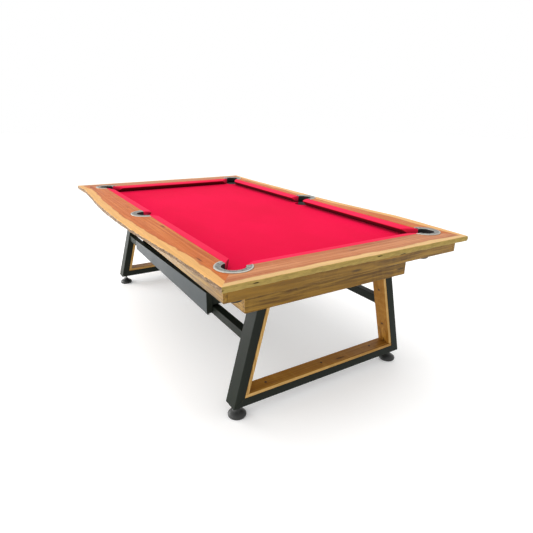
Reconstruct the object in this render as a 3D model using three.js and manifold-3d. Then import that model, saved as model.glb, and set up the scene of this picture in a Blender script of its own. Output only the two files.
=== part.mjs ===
// Six-pocket pool table with live-edge slab rails, a box-framed slate bed and two sloping steel leg frames.
// Millimetres, +Z up, floor at z = 0. X runs along the table and -Y is the side with the cue drawer.
import * as THREE from 'three';
import Module from 'manifold-3d';

const wasm = await Module();
wasm.setup();

// ---- driving sizes ----
const PLAY_L = 2240;
const PLAY_W = 1120;
const RAIL_TOP = 850;
const FIT = 0.3;

const CUSHION_W = 57;
const NOSE_DROP = 10;
const END_SLAB_W = 168;
const SLAB_T = 28;
const BED_DEPTH = 50;
const SLATE_T = 22;
const SLATE_MARGIN = 130;
const CLOTH_T = 1.5;

const CORNER_R = 54;
const CORNER_RIM = 32;
const SIDE_R = 60;
const SIDE_RIM = 37;
const POCKET_INSET = 14;
const HOLE_CLEARANCE = 4;
const THROAT_WALL = 8;
const RIM_T = 7;
const RIM_PROUD = 3.5;
const CORNER_MOUTH = 118;
const SIDE_MOUTH = 144;
const CORNER_FACING = 38;
const CUP_DEPTH = 81;
const CUP_WALL = 4;

const APRON_T = 20;
const APRON_DROP = 27.5;
const END_APRON_OUT = 113;
const SIDE_APRON_OUT = 100;
const BOX_T = 19;
const BOX_DEPTH = 183;
const BOX_END_IN = 51;
const BOX_SIDE_IN = 88;
const CROSS_T = 60;
const CROSS_LIFT = 45;

const LEG_DEPTH = 90;
const LEG_T = 50;
const LEG_BOTTOM = 71;
const LEG_LEAN = 0.2562;
const LEG_SETBACK = 62.2;
const LINER_T = 19;
const LINER_RISE = 105;
const BEAM = 48;
const BEAM_INSET = 38;
const BEAM_DROP = 157;

const FOOT_R = 48;
const FOOT_H = 44;
const FOOT_INSET = 42;
const STEM_R = 9;
const STEM_RUN = 0.05;
const STEM_IN_LEG = 27;
const STEM_SPARE = 14;

const PANEL_X = [-690, 676];
const PANEL_BELOW = [26, 34];
const PANEL_ABOVE = [48, 91];
const PANEL_T = 36;
const PANEL_GAP = 4;
const TRAY_SHY = [50, 36];
const TRAY_DEPTH = 220;
const TRAY_H = 38;
const TRAY_WALL = 3;
const TRAY_LIFT = 4;
const SLIDE_T = 10;

// Live edge of each long slab: share of the half length, distance out from the slab's inner line.
const FRONT_EDGE = [
  [-1, 185], [-0.803, 174], [-0.617, 182], [-0.29, 202], [0.104, 200], [0.364, 184], [0.639, 154], [1, 131],
];
const BACK_EDGE = [
  [-1, 129], [-0.743, 112], [-0.297, 110], [0.149, 111], [0.416, 135], [0.621, 155], [0.803, 139], [1, 117],
];

// ---- sizes worked out from them ----
const JOIN_X = PLAY_L / 2 + CUSHION_W;
const JOIN_Y = PLAY_W / 2 + CUSHION_W;
const END_X = JOIN_X + END_SLAB_W;
const SLAB_UNDER = RAIL_TOP - SLAB_T;
const SLATE_TOP = RAIL_TOP - BED_DEPTH;
const SLATE_X = PLAY_L / 2 + SLATE_MARGIN;
const SLATE_Y = PLAY_W / 2 + SLATE_MARGIN;
const SLATE_UNDER = SLATE_TOP - SLATE_T;
const CLOTH_LOW = SLATE_TOP + FIT;
const CLOTH_TOP = CLOTH_LOW + CLOTH_T;
const CORNER_X = JOIN_X - POCKET_INSET;
const CORNER_Y = JOIN_Y - POCKET_INSET;
const APRON_BOTTOM = SLATE_UNDER - APRON_DROP;
const APRON_HALF_L = JOIN_X + END_APRON_OUT;
const APRON_HALF_W = JOIN_Y + SIDE_APRON_OUT;
const BOX_HALF_L = JOIN_X - BOX_END_IN;
const BOX_HALF_W = JOIN_Y - BOX_SIDE_IN;
const BOX_BOTTOM = SLATE_UNDER - BOX_DEPTH;
const BEAM_TOP = BOX_BOTTOM - BEAM_DROP;
const LEG_X = BOX_HALF_L - BOX_T - FIT - LEG_DEPTH;
const LEG_HALF_FOOT = BOX_HALF_W - BOX_T - LEG_SETBACK + (BOX_BOTTOM - LEG_BOTTOM) * LEG_LEAN;
const FRAME_TOP = SLATE_UNDER - FIT;
const FOOT_X = LEG_X + LEG_DEPTH / 2;
const FOOT_Y = LEG_HALF_FOOT - FOOT_INSET;
const STEM_TOP = LEG_BOTTOM + STEM_IN_LEG;
const BEAM_Y = LEG_HALF_FOOT - (BEAM_TOP - BEAM / 2 - LEG_BOTTOM) * LEG_LEAN - BEAM_INSET;
const PANEL_Y = BEAM_Y + BEAM / 2 + PANEL_GAP + PANEL_T;
const TRAY_X = [PANEL_X[0] + TRAY_SHY[0], PANEL_X[1] - TRAY_SHY[1]];
const TRAY_FLOOR = BEAM_TOP + TRAY_LIFT;

const POCKETS = [
  ['left_front', -1, -1], ['middle_front', 0, -1], ['right_front', 1, -1],
  ['left_back', -1, 1], ['middle_back', 0, 1], ['right_back', 1, 1],
];

const MATERIALS = {
  hardwood: [0xc47a45, 0.45, 0],
  slate: [0x4a4e52, 0.8, 0],
  cloth: [0xe0123f, 0.9, 0],
  pewter: [0x8c8c84, 0.35, 1],
  black_plastic: [0x111211, 0.5, 0],
  steel: [0x2d322d, 0.45, 0.6],
  grey_steel: [0x6e7678, 0.4, 0.5],
};

const group = new THREE.Group();
group.name = 'live_edge_pool_table';

// ---- helpers ----
function add(name, geometry, finish) {
  const [color, roughness, metalness] = MATERIALS[finish];
  const material = new THREE.MeshStandardMaterial({ color, roughness, metalness });
  material.name = finish;
  const mesh = new THREE.Mesh(geometry, material);
  mesh.name = name;
  group.add(mesh);
  return mesh;
}

// Points at the same place become one point, so that the faces around it close up.
function toSolid(geometry) {
  const source = geometry.attributes.position;
  const index = geometry.index;
  const count = index ? index.count : source.count;
  const seen = new Map();
  const points = [];
  const triangles = [];
  for (let i = 0; i < count; i += 1) {
    const v = index ? index.getX(i) : i;
    const p = [source.getX(v), source.getY(v), source.getZ(v)];
    const key = p.map((value) => Math.round(value * 1e4)).join();
    if (!seen.has(key)) {
      seen.set(key, points.length / 3);
      points.push(...p);
    }
    triangles.push(seen.get(key));
  }
  const kept = [];
  for (let i = 0; i < triangles.length; i += 3) {
    const [a, b, c] = triangles.slice(i, i + 3);
    if (a !== b && b !== c && c !== a) {
      kept.push(a, b, c);
    }
  }
  return new wasm.Manifold(new wasm.Mesh({
    numProp: 3,
    vertProperties: new Float32Array(points),
    triVerts: new Uint32Array(kept),
  }));
}

function fromSolid(solid) {
  const mesh = solid.getMesh();
  const geometry = new THREE.BufferGeometry();
  geometry.setAttribute('position', new THREE.BufferAttribute(new Float32Array(mesh.vertProperties), 3));
  geometry.setIndex(new THREE.BufferAttribute(new Uint32Array(mesh.triVerts), 1));
  geometry.computeVertexNormals();
  return geometry;
}

function boxGeometry([x0, x1], [y0, y1], [z0, z1]) {
  const geometry = new THREE.BoxGeometry(x1 - x0, y1 - y0, z1 - z0);
  return geometry.translate((x0 + x1) / 2, (y0 + y1) / 2, (z0 + z1) / 2);
}

function block(x, y, z) {
  return toSolid(boxGeometry(x, y, z));
}

function cylinder(radius, z0, z1, x, y, sides = 32) {
  const geometry = new THREE.CylinderGeometry(radius, radius, z1 - z0, sides).rotateX(Math.PI / 2);
  return toSolid(geometry.translate(x, y, (z0 + z1) / 2));
}

// Turned body about a vertical line; the profile is given from low to high along its outside.
function turned(profile, x, y, sides = 32) {
  const points = profile.map(([r, z]) => new THREE.Vector2(r, z));
  const geometry = new THREE.LatheGeometry(points, sides).rotateX(Math.PI / 2);
  return geometry.translate(x, y, 0);
}

// Outline in the Y-Z plane made into a body between two X positions.
function acrossX(outline, hole, x0, x1) {
  const shape = new THREE.Shape(outline.map(([y, z]) => new THREE.Vector2(y, z)));
  if (hole) {
    shape.holes.push(new THREE.Path(hole.map(([y, z]) => new THREE.Vector2(y, z))));
  }
  const geometry = new THREE.ExtrudeGeometry(shape, { depth: x1 - x0, bevelEnabled: false });
  const turn = new THREE.Matrix4().set(0, 0, 1, x0, 1, 0, 0, 0, 0, 1, 0, 0, 0, 0, 0, 1);
  return geometry.applyMatrix4(turn);
}

// Rings of equal point count joined into one body; outline is a ring's own flat shape, for the two end caps.
function skin(rings, outline) {
  const size = rings[0].length;
  const index = [];
  for (let r = 0; r < rings.length - 1; r += 1) {
    for (let i = 0; i < size; i += 1) {
      const a = r * size + i;
      const b = r * size + ((i + 1) % size);
      index.push(a, b, a + size, b, b + size, a + size);
    }
  }
  const last = (rings.length - 1) * size;
  const flat = outline.map(([u, v]) => new THREE.Vector2(u, v));
  const turn = THREE.ShapeUtils.isClockWise(flat);
  THREE.ShapeUtils.triangulateShape(flat, []).forEach(([a, p, q]) => {
    const [b, c] = turn ? [q, p] : [p, q];
    index.push(a, c, b, last + a, last + b, last + c);
  });
  const geometry = new THREE.BufferGeometry();
  geometry.setAttribute('position', new THREE.Float32BufferAttribute(rings.flat(2), 3));
  geometry.setIndex(index);
  return outwards(geometry);
}

// Turns every face round if the body is inside out.
function outwards(geometry) {
  const p = geometry.attributes.position;
  const index = geometry.index;
  let volume = 0;
  for (let i = 0; i < index.count; i += 3) {
    const [a, b, c] = [0, 1, 2].map((k) => new THREE.Vector3().fromBufferAttribute(p, index.getX(i + k)));
    volume += a.dot(b.cross(c));
  }
  if (volume < 0) {
    for (let i = 0; i < index.count; i += 3) {
      const swap = index.getX(i + 1);
      index.setX(i + 1, index.getX(i + 2));
      index.setX(i + 2, swap);
    }
  }
  return geometry;
}

function pocketCentre(sx, sy) {
  return sx === 0 ? [0, sy * JOIN_Y] : [sx * CORNER_X, sy * CORNER_Y];
}

// ---- slate in three pieces, with the pocket holes ----
function pocketHoles(clearance, z0, z1) {
  const holes = POCKETS.map(([, sx, sy]) => {
    const [x, y] = pocketCentre(sx, sy);
    const r = (sx === 0 ? SIDE_R : CORNER_R) + clearance;
    return cylinder(r, z0, z1, x, y);
  });
  return holes.reduce((all, hole) => all.add(hole));
}

function buildSlate() {
  const holes = pocketHoles(HOLE_CLEARANCE, SLATE_UNDER - 5, SLATE_TOP + 5);
  const third = (2 * SLATE_X) / 3;
  ['left', 'middle', 'right'].forEach((side, i) => {
    const x0 = -SLATE_X + i * third + (i > 0 ? FIT / 2 : 0);
    const x1 = -SLATE_X + (i + 1) * third - (i < 2 ? FIT / 2 : 0);
    const slab = block([x0, x1], [-SLATE_Y, SLATE_Y], [SLATE_UNDER, SLATE_TOP]);
    add(`slate_${side}`, fromSolid(slab.subtract(holes)), 'slate');
  });
  const holesInCloth = pocketHoles(HOLE_CLEARANCE, CLOTH_LOW - 5, CLOTH_TOP + 5);
  const x = [-JOIN_X + FIT, JOIN_X - FIT];
  const cloth = block(x, [-JOIN_Y + FIT, JOIN_Y - FIT], [CLOTH_LOW, CLOTH_TOP]);
  add('bed_cloth', fromSolid(cloth.subtract(holesInCloth)), 'cloth');
}

// ---- rails: four slabs with a live outer edge, mitred at the corners ----
function edgeCurve(points) {
  return new THREE.SplineCurve(points.map(([share, out]) => new THREE.Vector2(share * END_X, JOIN_Y + out)));
}

// Corner of the table top where two slabs meet.
function outerCorner(sx, sy) {
  const edge = sy < 0 ? FRONT_EDGE : BACK_EDGE;
  const end = sx < 0 ? edge[0] : edge[edge.length - 1];
  return [sx * END_X, sy * (JOIN_Y + end[1])];
}

// One slab from inner line a-b to outer edge outer(u), with a rounded top arris and a bulging bark face.
function slabRail(a, b, outer, steps) {
  const low = CLOTH_LOW;
  const rings = [];
  const profile = (reach, bulge) => [
    [0, RAIL_TOP], [reach - 3, RAIL_TOP], [reach, RAIL_TOP - 3], [reach + bulge, RAIL_TOP - 13],
    [reach + bulge * 0.4 - 1, SLAB_UNDER], [reach + bulge * 0.4 - 1, low], [0, low],
  ];
  for (let i = 0; i <= steps; i += 1) {
    const u = i / steps;
    const inner = new THREE.Vector2(a[0] + (b[0] - a[0]) * u, a[1] + (b[1] - a[1]) * u);
    const out = outer(u).sub(inner);
    const reach = out.length();
    out.normalize();
    const bulge = 2 + 1.5 * Math.sin(9 * u * Math.PI) * Math.sin(4 * u);
    rings.push(profile(reach, bulge).map(([d, z]) => [inner.x + out.x * d, inner.y + out.y * d, z]));
  }
  return toSolid(skin(rings, profile(150, 2)));
}

function castingCuts() {
  const cuts = POCKETS.map(([, sx, sy]) => {
    const [x, y] = pocketCentre(sx, sy);
    const [r, rim] = sx === 0 ? [SIDE_R, SIDE_RIM] : [CORNER_R, CORNER_RIM];
    const throat = cylinder(r + THROAT_WALL + FIT, SLATE_TOP - 10, RAIL_TOP + 10, x, y);
    const seat = cylinder(r + rim + FIT, RAIL_TOP + RIM_PROUD - RIM_T - FIT, RAIL_TOP + 10, x, y);
    return throat.add(seat);
  });
  return cuts.reduce((all, cut) => all.add(cut));
}

function buildRails() {
  const rebate = block([-2000, 2000], [-2000, 2000], [SLATE_TOP - 10, SLAB_UNDER])
    .subtract(block([-SLATE_X - 12, SLATE_X + 12], [-SLATE_Y - 2, SLATE_Y + 2], [SLATE_TOP - 20, RAIL_TOP]));
  const cuts = castingCuts().add(rebate);
  [['front', -1, FRONT_EDGE], ['back', 1, BACK_EDGE]].forEach(([side, s, points]) => {
    const curve = edgeCurve(points);
    const outer = (u) => {
      const p = curve.getPoint(u);
      return new THREE.Vector2(p.x, s * p.y);
    };
    const slab = slabRail([-JOIN_X, s * JOIN_Y], [JOIN_X, s * JOIN_Y], outer, 48);
    const shrink = 1 - (2 * FIT) / END_X;
    add(`rail_${side}`, fromSolid(slab.scale([shrink, 1, 1]).subtract(cuts)), 'hardwood');
  });
  [['left', -1], ['right', 1]].forEach(([side, s]) => {
    const [c0, c1] = [outerCorner(s, -1), outerCorner(s, 1)];
    const outer = (u) => {
      const wave = 2.5 * Math.sin(Math.PI * u) * Math.sin(3 * Math.PI * u + 1);
      return new THREE.Vector2(s * (END_X - Math.abs(wave)), c0[1] + (c1[1] - c0[1]) * u);
    };
    const slab = slabRail([s * JOIN_X, -JOIN_Y], [s * JOIN_X, JOIN_Y], outer, 24);
    const shrink = 1 - (2 * FIT) / JOIN_Y;
    add(`rail_${side}`, fromSolid(slab.scale([1, shrink, 1]).subtract(cuts)), 'hardwood');
  });
}

// ---- cushions: the nose stands at 0.63 of a ball's height above the cloth ----
// Profile as [distance from the slab, height].
function cushionProfile() {
  const top = RAIL_TOP - FIT;
  const nose = top - NOSE_DROP;
  const low = CLOTH_TOP + FIT;
  const w = CUSHION_W;
  return [
    [FIT, low], [0.32 * w, low], [w - 1.5, nose - 4], [w, nose], [w - 1, nose + 3.5], [w - 5, nose + 6],
    [0.7 * w, top - 2], [0.3 * w, top - 0.3], [FIT, top],
  ];
}

// along: end positions at the nose and at the back; place maps (along, distance, height) to a point.
function cushion(name, from, to, place) {
  const outline = cushionProfile();
  const end = ([nose, back]) => outline.map(([d, z]) => place(back + ((nose - back) * d) / CUSHION_W, d, z));
  add(name, skin([end(from), end(to)], outline), 'cloth');
}

function buildCushions() {
  const run = CORNER_MOUTH / Math.SQRT2;
  const gain = CUSHION_W / Math.tan(THREE.MathUtils.degToRad(CORNER_FACING));
  const cornerEnd = (half) => [half - run, half - run + gain];
  const sideEnd = [SIDE_MOUTH / 2, SIDE_R + FIT];
  const minus = (pair) => pair.map((value) => -value);
  const long = cornerEnd(PLAY_L / 2);
  const short = cornerEnd(PLAY_W / 2);
  [['front', -1], ['back', 1]].forEach(([side, s]) => {
    const place = (along, d, z) => [along, s * (JOIN_Y - d), z];
    cushion(`cushion_${side}_left`, minus(long), minus(sideEnd), place);
    cushion(`cushion_${side}_right`, sideEnd, long, place);
  });
  [['left', -1], ['right', 1]].forEach(([side, s]) => {
    cushion(`cushion_${side}`, minus(short), short, (along, d, z) => [s * (JOIN_X - d), along, z]);
  });
}

// ---- pocket castings and the cups below them ----
function castingProfile(r, rim) {
  const top = RAIL_TOP + RIM_PROUD;
  const under = top - RIM_T;
  const low = SLATE_TOP + 6;
  return [
    [r, low], [r + THROAT_WALL, low], [r + THROAT_WALL, under], [r + rim, under],
    [r + rim, top - 2.5], [r + rim - 2.5, top], [r + 5, top], [r + 1.5, top - 2], [r, top - 7], [r, low],
  ];
}

function buildPockets() {
  const inside = block([-JOIN_X, JOIN_X], [-JOIN_Y, JOIN_Y], [SLATE_TOP - 50, RAIL_TOP + 50]);
  POCKETS.forEach(([name, sx, sy]) => {
    const [x, y] = pocketCentre(sx, sy);
    const [r, rim] = sx === 0 ? [SIDE_R, SIDE_RIM] : [CORNER_R, CORNER_RIM];
    const ring = toSolid(turned(castingProfile(r, rim), x, y));
    add(`casting_${name}`, fromSolid(ring.subtract(inside)), 'pewter');
    const top = SLATE_UNDER - FIT;
    const low = top - CUP_DEPTH;
    const foot = r * 0.74;
    const cup = turned([
      [0, low], [foot - 6, low], [foot, low + 5], [r + 6, top - 12], [r + 6, top],
      [r + 6 - CUP_WALL, top], [r + 5 - CUP_WALL, top - 12], [foot - CUP_WALL, low + 8],
      [foot - 10, low + CUP_WALL], [0, low + CUP_WALL],
    ], x, y, 24);
    add(`cup_${name}`, cup, 'black_plastic');
  });
}

// ---- the aprons under the slabs and the timber box under the slate ----
function buildAprons() {
  const z = [APRON_BOTTOM, SLAB_UNDER - FIT];
  const inner = APRON_HALF_W - APRON_T;
  [['front', -1], ['back', 1]].forEach(([side, s]) => {
    const y = [s * inner, s * APRON_HALF_W].sort((p, q) => p - q);
    add(`apron_${side}`, boxGeometry([-APRON_HALF_L, APRON_HALF_L], y, z), 'hardwood');
  });
  [['left', -1], ['right', 1]].forEach(([side, s]) => {
    const x = [s * (APRON_HALF_L - APRON_T), s * APRON_HALF_L].sort((p, q) => p - q);
    add(`apron_${side}`, boxGeometry(x, [-inner + FIT, inner - FIT], z), 'hardwood');
  });
}

function buildBox() {
  const z = [BOX_BOTTOM, SLATE_UNDER - FIT];
  const innerY = BOX_HALF_W - BOX_T;
  [['left', -1], ['right', 1]].forEach(([side, s]) => {
    const x = [s * (BOX_HALF_L - BOX_T), s * BOX_HALF_L].sort((p, q) => p - q);
    add(`box_${side}`, boxGeometry(x, [-BOX_HALF_W, BOX_HALF_W], z), 'hardwood');
    const cross = (s * SLATE_X) / 3;
    const member = boxGeometry(
      [cross - CROSS_T / 2, cross + CROSS_T / 2],
      [-innerY + FIT, innerY - FIT],
      [BOX_BOTTOM + CROSS_LIFT, z[1]],
    );
    add(`cross_member_${side}`, member, 'hardwood');
  });
  [['front', -1], ['back', 1]].forEach(([side, s]) => {
    const y = [s * innerY, s * BOX_HALF_W].sort((p, q) => p - q);
    const half = BOX_HALF_L - BOX_T - FIT;
    add(`box_${side}`, boxGeometry([-half, half], y, z), 'hardwood');
  });
}

// ---- leg frames, liners, beams and feet ----
function legHalf(z) {
  return LEG_HALF_FOOT - (z - LEG_BOTTOM) * LEG_LEAN;
}

function insideHalf(z) {
  return legHalf(z) - LEG_T * Math.hypot(1, LEG_LEAN);
}

function trapezoid(half, z0, z1) {
  return [[-half(z0), z0], [half(z0), z0], [half(z1), z1], [-half(z1), z1]];
}

function buildLegs() {
  [['left', -1], ['right', 1]].forEach(([side, s]) => {
    const [x0, x1] = [s * LEG_X, s * (LEG_X + LEG_DEPTH)].sort((p, q) => p - q);
    const ring = acrossX(
      trapezoid(legHalf, LEG_BOTTOM, FRAME_TOP),
      trapezoid(insideHalf, LEG_BOTTOM + LEG_T - 3, FRAME_TOP - LEG_T),
      x0,
      x1,
    );
    const reach = [LEG_BOTTOM - 5, STEM_TOP + STEM_SPARE];
    const holes = [-1, 1].map((sy) => cylinder(STEM_R + STEM_RUN, ...reach, s * FOOT_X, sy * FOOT_Y));
    const frame = holes.reduce((solid, hole) => solid.subtract(hole), toSolid(ring));
    add(`leg_frame_${side}`, fromSolid(frame), 'steel');

    const floor = LEG_BOTTOM + LEG_T - 3 + FIT;
    const lined = (z) => insideHalf(z) - FIT;
    const low = acrossX(trapezoid(lined, floor, floor + LINER_T), null, x0, x1);
    add(`liner_${side}_low`, low, 'hardwood');
    [['front', -1], ['back', 1]].forEach(([end, sy]) => {
      const [z0, z1] = [floor + LINER_T + FIT, BOX_BOTTOM + LINER_RISE];
      const outline = [
        [sy * lined(z0), z0], [sy * lined(z1), z1],
        [sy * (lined(z1) - LINER_T), z1], [sy * (lined(z0) - LINER_T), z0],
      ];
      add(`liner_${side}_${end}`, acrossX(outline, null, x0, x1), 'hardwood');
    });
  });
}

function buildBeams() {
  [['front', -1], ['back', 1]].forEach(([side, s]) => {
    const y = [s * BEAM_Y - BEAM / 2, s * BEAM_Y + BEAM / 2];
    const x = [-LEG_X + FIT, LEG_X - FIT];
    add(`beam_${side}`, boxGeometry(x, y, [BEAM_TOP - BEAM, BEAM_TOP]), 'steel');
  });
}

function buildFeet() {
  [['left', -1], ['right', 1]].forEach(([side, s]) => {
    [['front', -1], ['back', 1]].forEach(([end, sy]) => {
      const [x, y] = [s * FOOT_X, sy * FOOT_Y];
      const pad = turned([
        [0, 0], [FOOT_R - 4, 0], [FOOT_R, 4], [FOOT_R, 14], [FOOT_R - 5, 20], [FOOT_R - 20, 30], [18, 36],
        [16, FOOT_H], [0, FOOT_H],
      ], x, y);
      add(`foot_${side}_${end}`, pad, 'black_plastic');
      const stem = turned([
        [0, FOOT_H + FIT], [STEM_R, FOOT_H + FIT], [STEM_R, STEM_TOP], [0, STEM_TOP],
      ], x, y);
      add(`stem_${side}_${end}`, stem, 'steel');
    });
  });
}

// ---- cue drawer: front panel, shallow tray on two slides, hung between two plates ----
function buildDrawer() {
  const back = -PANEL_Y + PANEL_T;
  const [x0, x1] = PANEL_X;
  const face = new THREE.Shape([
    new THREE.Vector2(x0, BEAM_TOP - PANEL_BELOW[0]), new THREE.Vector2(x1, BEAM_TOP - PANEL_BELOW[1]),
    new THREE.Vector2(x1, BEAM_TOP + PANEL_ABOVE[1]), new THREE.Vector2(x0, BEAM_TOP + PANEL_ABOVE[0]),
  ]);
  const panel = new THREE.ExtrudeGeometry(face, { depth: PANEL_T, bevelEnabled: false });
  panel.applyMatrix4(new THREE.Matrix4().set(1, 0, 0, 0, 0, 0, -1, back, 0, 1, 0, 0, 0, 0, 0, 1));
  add('drawer_front', panel, 'grey_steel');

  const y0 = back + FIT;
  const y1 = y0 + TRAY_DEPTH;
  const z = [TRAY_FLOOR, TRAY_FLOOR + TRAY_H];
  const outside = block(TRAY_X, [y0, y1], z);
  const inner = [TRAY_X[0] + TRAY_WALL, TRAY_X[1] - TRAY_WALL];
  const hollow = block(inner, [y0 + TRAY_WALL, y1 - TRAY_WALL], [z[0] + TRAY_WALL, z[1] + 10]);
  add('drawer_tray', fromSolid(outside.subtract(hollow)), 'steel');

  const slideZ = [TRAY_FLOOR + 10, TRAY_FLOOR + 26];
  const run = [y0 + 10, y1 - 4];
  const boardFace = -BOX_HALF_W + BOX_T + FIT;
  [['left', -1, TRAY_X[0]], ['right', 1, TRAY_X[1]]].forEach(([side, s, edge]) => {
    const beside = (near, far) => [edge + s * near, edge + s * far].sort((p, q) => p - q);
    add(`drawer_slide_${side}`, boxGeometry(beside(FIT, SLIDE_T), run, slideZ), 'grey_steel');
    const outline = [
      [boardFace, SLATE_UNDER - FIT], [boardFace, BOX_BOTTOM + 30], [run[0], BOX_BOTTOM - 10],
      [run[0], TRAY_FLOOR], [run[1], TRAY_FLOOR], [run[1], BOX_BOTTOM - 10],
      [boardFace + 130, SLATE_UNDER - FIT],
    ];
    const plate = toSolid(outwards(indexed(acrossX(outline, null, ...beside(SLIDE_T + 1, SLIDE_T + 7)))));
    const lips = [[slideZ[0] - 6, slideZ[0] - 1], [slideZ[1] + 1, slideZ[1] + 6]];
    const channel = lips.reduce((solid, lip) => solid.add(block(beside(2, SLIDE_T + 4), run, lip)), plate);
    add(`drawer_hanger_${side}`, fromSolid(channel), 'steel');
  });
}

function indexed(geometry) {
  const count = geometry.attributes.position.count;
  if (!geometry.index) {
    geometry.setIndex([...Array(count).keys()]);
  }
  return geometry;
}

buildSlate();
buildRails();
buildCushions();
buildPockets();
buildAprons();
buildBox();
buildLegs();
buildBeams();
buildFeet();
buildDrawer();

// The frame's origin is under the middle of the whole table.
const extent = new THREE.Box3().setFromObject(group);
const centre = extent.getCenter(new THREE.Vector3());
group.children.forEach((mesh) => mesh.geometry.translate(-centre.x, -centre.y, 0));

export default group;
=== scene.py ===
"""Live-edge pool table: the looks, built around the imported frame. Metres, +Z up, +X along the table."""

import bmesh
import bpy
import numpy as np
from mathutils import Matrix, Vector


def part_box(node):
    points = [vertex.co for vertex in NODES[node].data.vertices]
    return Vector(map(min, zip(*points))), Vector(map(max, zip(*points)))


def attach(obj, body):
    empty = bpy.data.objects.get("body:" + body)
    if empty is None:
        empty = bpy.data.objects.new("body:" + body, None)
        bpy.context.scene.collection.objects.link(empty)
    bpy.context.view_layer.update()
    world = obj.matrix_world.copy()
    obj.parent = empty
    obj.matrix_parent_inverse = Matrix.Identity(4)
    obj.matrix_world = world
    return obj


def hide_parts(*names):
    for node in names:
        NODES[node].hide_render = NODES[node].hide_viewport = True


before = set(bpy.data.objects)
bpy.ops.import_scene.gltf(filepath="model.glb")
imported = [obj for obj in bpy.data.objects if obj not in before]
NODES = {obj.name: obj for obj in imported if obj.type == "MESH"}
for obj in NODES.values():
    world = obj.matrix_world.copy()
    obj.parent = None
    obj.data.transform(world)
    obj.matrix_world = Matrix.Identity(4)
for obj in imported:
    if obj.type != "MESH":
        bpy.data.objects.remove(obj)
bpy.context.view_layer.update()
MM = 0.001
SIDES = (("left", -1), ("right", 1))
ENDS = (("front", -1), ("back", 1))

# ---- sizes read from the frame, and the ones the slabs' curves need ----
CLOTH_LOW, CLOTH_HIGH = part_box("bed_cloth")
MID_X = (CLOTH_LOW.x + CLOTH_HIGH.x) / 2
MID_Y = (CLOTH_LOW.y + CLOTH_HIGH.y) / 2
PLAY_X, PLAY_Y = 1.120, 0.560
CUSHION_W = 0.057
JOIN_X, JOIN_Y = PLAY_X + CUSHION_W, PLAY_Y + CUSHION_W
RAIL_TOP, SLAB_T = 0.850, 0.028
END_X = 1.345
POCKET_INSET = 0.014
CORNER_X, CORNER_Y = JOIN_X - POCKET_INSET, JOIN_Y - POCKET_INSET
CORNER_R, CORNER_RIM = 0.054, 0.032
SIDE_R, SIDE_RIM = 0.060, 0.037
CLOTH_TOP = CLOTH_HIGH.z
SLATE_X, SLATE_Y = 1.250, 0.690
GAP, POCKET_GAP = 0.0003, 0.0004
SLAB_SEAT = 0.8006

# Live edges of the long slabs: millimetres along the table and out from its middle.
FRONT_EDGE = ((-1345, 802), (-1080, 791), (-830, 799), (-390, 819),
              (140, 817), (490, 801), (860, 771), (1345, 748))
BACK_EDGE = ((-1345, 746), (-1000, 729), (-400, 727), (200, 728),
             (560, 752), (835, 772), (1080, 756), (1345, 734))
POCKETS = (("left_front", -1, -1), ("middle_front", 0, -1), ("right_front", 1, -1),
           ("left_back", -1, 1), ("middle_back", 0, 1), ("right_back", 1, 1))


def here(x, y, z):
    """A point given from the middle of the play area, moved into the row frame."""
    return np.array([x + MID_X, y + MID_Y, z])


def pocket_place(sx, sy):
    """Centre, inner radius and rim width of one pocket, from the middle of the play area."""
    if sx == 0:
        return (0.0, sy * JOIN_Y), SIDE_R, SIDE_RIM
    return (sx * CORNER_X, sy * CORNER_Y), CORNER_R, CORNER_RIM


# ---- small noise made of fixed sines, so that each run is the same ----
def ripple(x, seed, waves=6, longest=0.5, falloff=0.75):
    """Sum of sines whose lengths shrink by a fixed ratio from the longest; about -1 to 1."""
    rng = np.random.default_rng(seed)
    total, amount, weight = np.zeros_like(np.asarray(x, float)), 0.0, 1.0
    length = longest
    for _ in range(waves):
        total = total + weight * np.sin(2 * np.pi * (np.asarray(x) / length + rng.random()))
        amount += weight
        weight *= falloff
        length *= 0.55 + 0.1 * rng.random()
    return total / amount


def ripple2(x, y, seed, waves=7, longest=0.12, falloff=0.8):
    """The same over a surface: each sine runs in its own fixed direction."""
    rng = np.random.default_rng(seed)
    total, amount, weight = 0.0, 0.0, 1.0
    length = longest
    for _ in range(waves):
        a = rng.random() * np.pi
        across = (x * np.cos(a) + y * np.sin(a)) / length
        total = total + weight * np.sin(2 * np.pi * (across + rng.random()))
        amount += weight
        weight *= falloff
        length *= 0.6 + 0.1 * rng.random()
    return total / amount


# ---- meshes ----
def grid_faces(rows, cols, close_rows=False, close_cols=False):
    """Quads of a rows by cols grid of points, as indices."""
    r = np.arange(rows if close_rows else rows - 1)
    c = np.arange(cols if close_cols else cols - 1)
    r, c = np.meshgrid(r, c, indexing="ij")
    r2, c2 = (r + 1) % rows, (c + 1) % cols
    return np.stack([r * cols + c, r * cols + c2, r2 * cols + c2, r2 * cols + c], -1).reshape(-1, 4).tolist()


def swept_faces(sections, around):
    """Faces of a closed section of so many points carried through so many places, with both ends capped."""
    last = (sections - 1) * around
    caps = [range(around), range(last + around - 1, last - 1, -1)]
    return grid_faces(sections, around, close_cols=True) + caps


def linked(name, data):
    """A new object for a mesh, light or camera, put in the scene."""
    made = bpy.data.objects.new(name, data)
    bpy.context.scene.collection.objects.link(made)
    return made


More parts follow.
